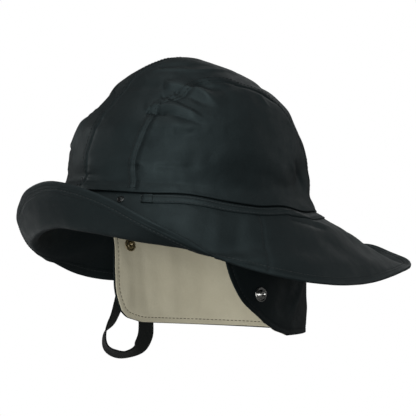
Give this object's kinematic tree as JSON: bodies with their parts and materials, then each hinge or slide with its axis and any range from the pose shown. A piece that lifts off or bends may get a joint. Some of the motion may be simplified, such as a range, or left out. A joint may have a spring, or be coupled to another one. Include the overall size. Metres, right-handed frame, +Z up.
{
  "type": "fishing hat",
  "caption": "Sou'wester rain hat with a deep sewn crown, a brim turned up at the front and long at the back, a lined ear and neck flap, and an elastic chin strap.",
  "frame": {"origin": "middle of the head opening, level with the head seam at the wearer's ears", "axes": "+Z up, the wearer faces -Y, +X is the wearer's left"},
  "size_m": [0.253, 0.3483, 0.243],
  "materials": {
    "coated_cloth": "black coated woven cloth with a dull sheen",
    "lining_cloth": "beige brushed woven cloth",
    "elastic": "black ribbed elastic webbing",
    "nickel": "bright nickel plate",
    "dull_brass": "dull antique brass"
  },
  "bodies": {
    "root": {"crown": "coated_cloth", "brim": "coated_cloth", "crown_band": "coated_cloth", "brim_eyelet": "nickel", "flap_shell": "coated_cloth", "flap_lining": "lining_cloth", "chin_strap": "elastic", "left_snap_stud": "nickel", "left_snap_back": "dull_brass", "right_snap_stud": "nickel", "right_snap_back": "dull_brass", "strap_snap_cap": "dull_brass"}
  },
  "joints": []
}
